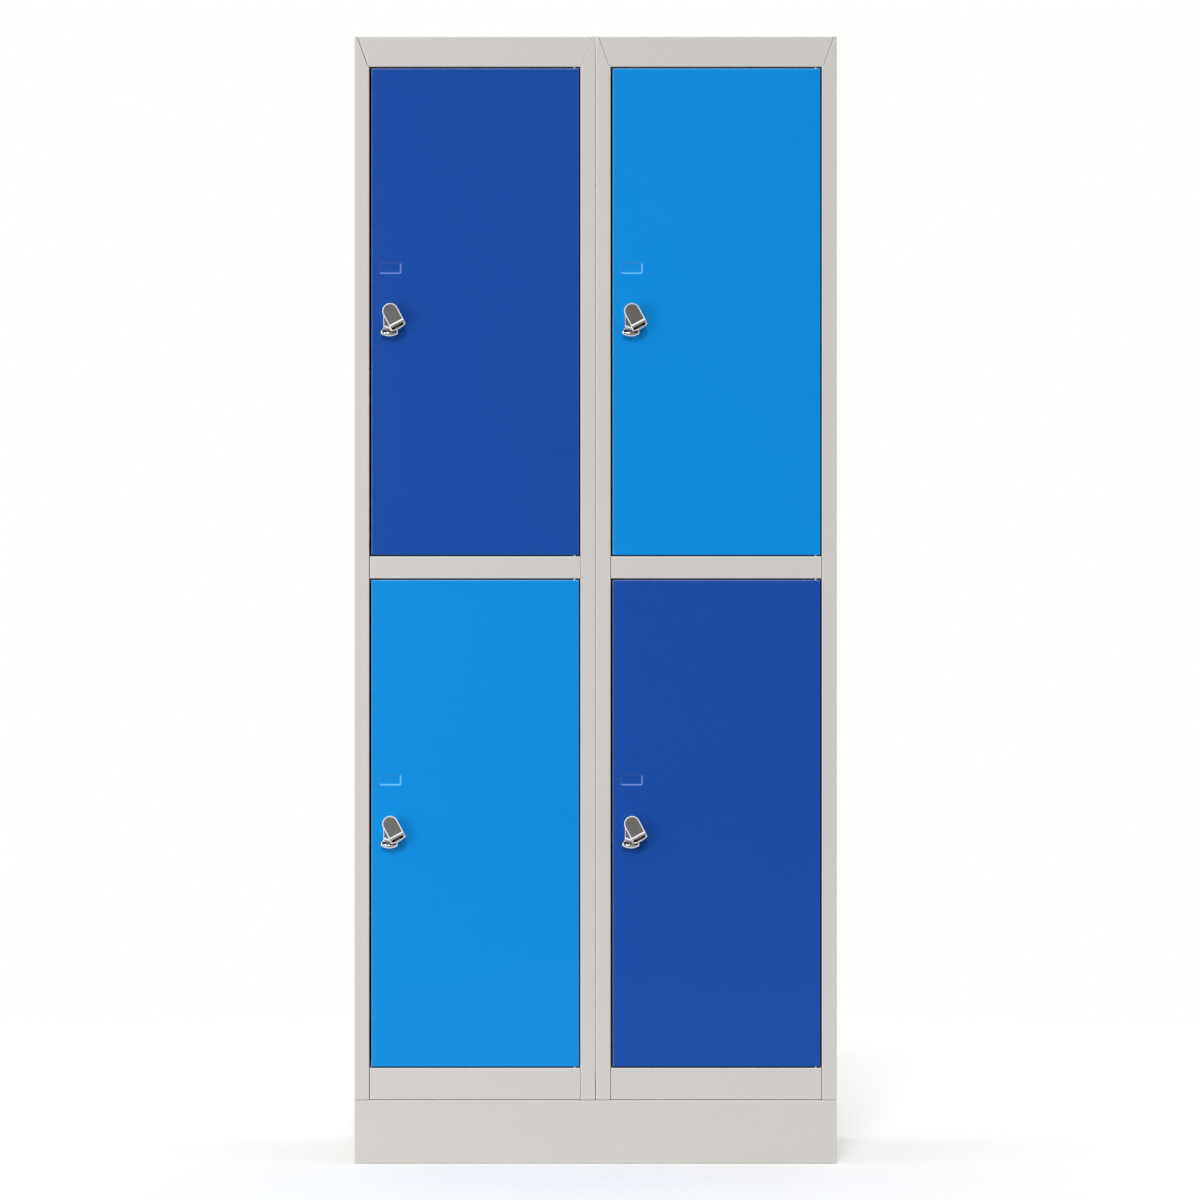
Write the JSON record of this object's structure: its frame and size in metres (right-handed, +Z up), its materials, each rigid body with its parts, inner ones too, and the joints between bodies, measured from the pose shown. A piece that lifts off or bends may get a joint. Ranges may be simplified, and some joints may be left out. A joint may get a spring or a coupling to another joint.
{
  "type": "school locker",
  "caption": "Steel school locker nest on a plinth: inset doors on pin hinges in a folded frame, each with a turning padlock hasp and a locking cam, and a coat hook in every compartment.",
  "frame": {"origin": "centre of the overall footprint, the locks' projection included, at floor level", "axes": "+Z up, -Y towards the person facing the doors, +X to that person's right"},
  "size_m": [0.762, 0.481, 1.78],
  "materials": {
    "grey_paint": "light warm grey powder coat, satin, fine orange peel",
    "dark_blue_paint": "dark blue powder coat, satin, fine orange peel",
    "light_blue_paint": "light blue powder coat, satin, fine orange peel",
    "chrome_plate": "chrome plated die casting with a lightly brushed face",
    "zinc_plate": "bright zinc plate",
    "rubber": "black rubber"
  },
  "bodies": {
    "carcass": {"column_1_side_left": "grey_paint", "column_1_side_right": "grey_paint", "column_1_back": "grey_paint", "column_1_top": "grey_paint", "column_1_shelf": "grey_paint", "column_1_base": "grey_paint", "column_2_side_left": "grey_paint", "column_2_side_right": "grey_paint", "column_2_back": "grey_paint", "column_2_top": "grey_paint", "column_2_shelf": "grey_paint", "column_2_base": "grey_paint", "plinth_front_and_sides": "grey_paint", "plinth_back": "grey_paint", "nest_bolt_upper": "zinc_plate", "nest_bolt_lower": "zinc_plate", "coat_hook_upper_left": "zinc_plate", "coat_hook_lower_left": "zinc_plate", "coat_hook_upper_right": "zinc_plate", "coat_hook_lower_right": "zinc_plate", "door_buffer_upper_left": "rubber", "door_buffer_lower_left": "rubber", "door_buffer_upper_right": "rubber", "door_buffer_lower_right": "rubber"},
    "upper_left_door": {"door_upper_left": "dark_blue_paint", "door_stiffener_upper_left": "dark_blue_paint", "hinge_pin_top_upper_left": "zinc_plate", "hinge_pin_bottom_upper_left": "zinc_plate", "hasp_base_upper_left": "chrome_plate", "hasp_nut_upper_left": "zinc_plate"},
    "upper_left_lock": {"hasp_knob_upper_left": "chrome_plate", "cam_upper_left": "zinc_plate", "cam_screw_upper_left": "zinc_plate"},
    "lower_left_door": {"door_lower_left": "light_blue_paint", "door_stiffener_lower_left": "light_blue_paint", "hinge_pin_top_lower_left": "zinc_plate", "hinge_pin_bottom_lower_left": "zinc_plate", "hasp_base_lower_left": "chrome_plate", "hasp_nut_lower_left": "zinc_plate"},
    "lower_left_lock": {"hasp_knob_lower_left": "chrome_plate", "cam_lower_left": "zinc_plate", "cam_screw_lower_left": "zinc_plate"},
    "upper_right_door": {"door_upper_right": "light_blue_paint", "door_stiffener_upper_right": "light_blue_paint", "hinge_pin_top_upper_right": "zinc_plate", "hinge_pin_bottom_upper_right": "zinc_plate", "hasp_base_upper_right": "chrome_plate", "hasp_nut_upper_right": "zinc_plate"},
    "upper_right_lock": {"hasp_knob_upper_right": "chrome_plate", "cam_upper_right": "zinc_plate", "cam_screw_upper_right": "zinc_plate"},
    "lower_right_door": {"door_lower_right": "dark_blue_paint", "door_stiffener_lower_right": "dark_blue_paint", "hinge_pin_top_lower_right": "zinc_plate", "hinge_pin_bottom_lower_right": "zinc_plate", "hasp_base_lower_right": "chrome_plate", "hasp_nut_lower_right": "zinc_plate"},
    "lower_right_lock": {"hasp_knob_lower_right": "chrome_plate", "cam_lower_right": "zinc_plate", "cam_screw_lower_right": "zinc_plate"}
  },
  "joints": [
    {"name": "upper_left_door_hinge", "type": "hinge", "parent": "carcass", "child": "upper_left_door", "pos_m": [-0.033, -0.212, 1.34525], "axis": [0, 0, 1], "range_deg": [0, 110]},
    {"name": "upper_left_lock_turn", "type": "hinge", "parent": "upper_left_door", "child": "upper_left_lock", "pos_m": [-0.3235, -0.2165, 1.34525], "axis": [0, -1, 0], "range_deg": [-28, 62]},
    {"name": "lower_left_door_hinge", "type": "hinge", "parent": "carcass", "child": "lower_left_door", "pos_m": [-0.033, -0.212, 0.53725], "axis": [0, 0, 1], "range_deg": [0, 110]},
    {"name": "lower_left_lock_turn", "type": "hinge", "parent": "lower_left_door", "child": "lower_left_lock", "pos_m": [-0.3235, -0.2165, 0.53725], "axis": [0, -1, 0], "range_deg": [-28, 62]},
    {"name": "upper_right_door_hinge", "type": "hinge", "parent": "carcass", "child": "upper_right_door", "pos_m": [0.348, -0.212, 1.34525], "axis": [0, 0, 1], "range_deg": [0, 110]},
    {"name": "upper_right_lock_turn", "type": "hinge", "parent": "upper_right_door", "child": "upper_right_lock", "pos_m": [0.0575, -0.2165, 1.34525], "axis": [0, -1, 0], "range_deg": [-28, 62]},
    {"name": "lower_right_door_hinge", "type": "hinge", "parent": "carcass", "child": "lower_right_door", "pos_m": [0.348, -0.212, 0.53725], "axis": [0, 0, 1], "range_deg": [0, 110]},
    {"name": "lower_right_lock_turn", "type": "hinge", "parent": "lower_right_door", "child": "lower_right_lock", "pos_m": [0.0575, -0.2165, 0.53725], "axis": [0, -1, 0], "range_deg": [-28, 62]}
  ]
}
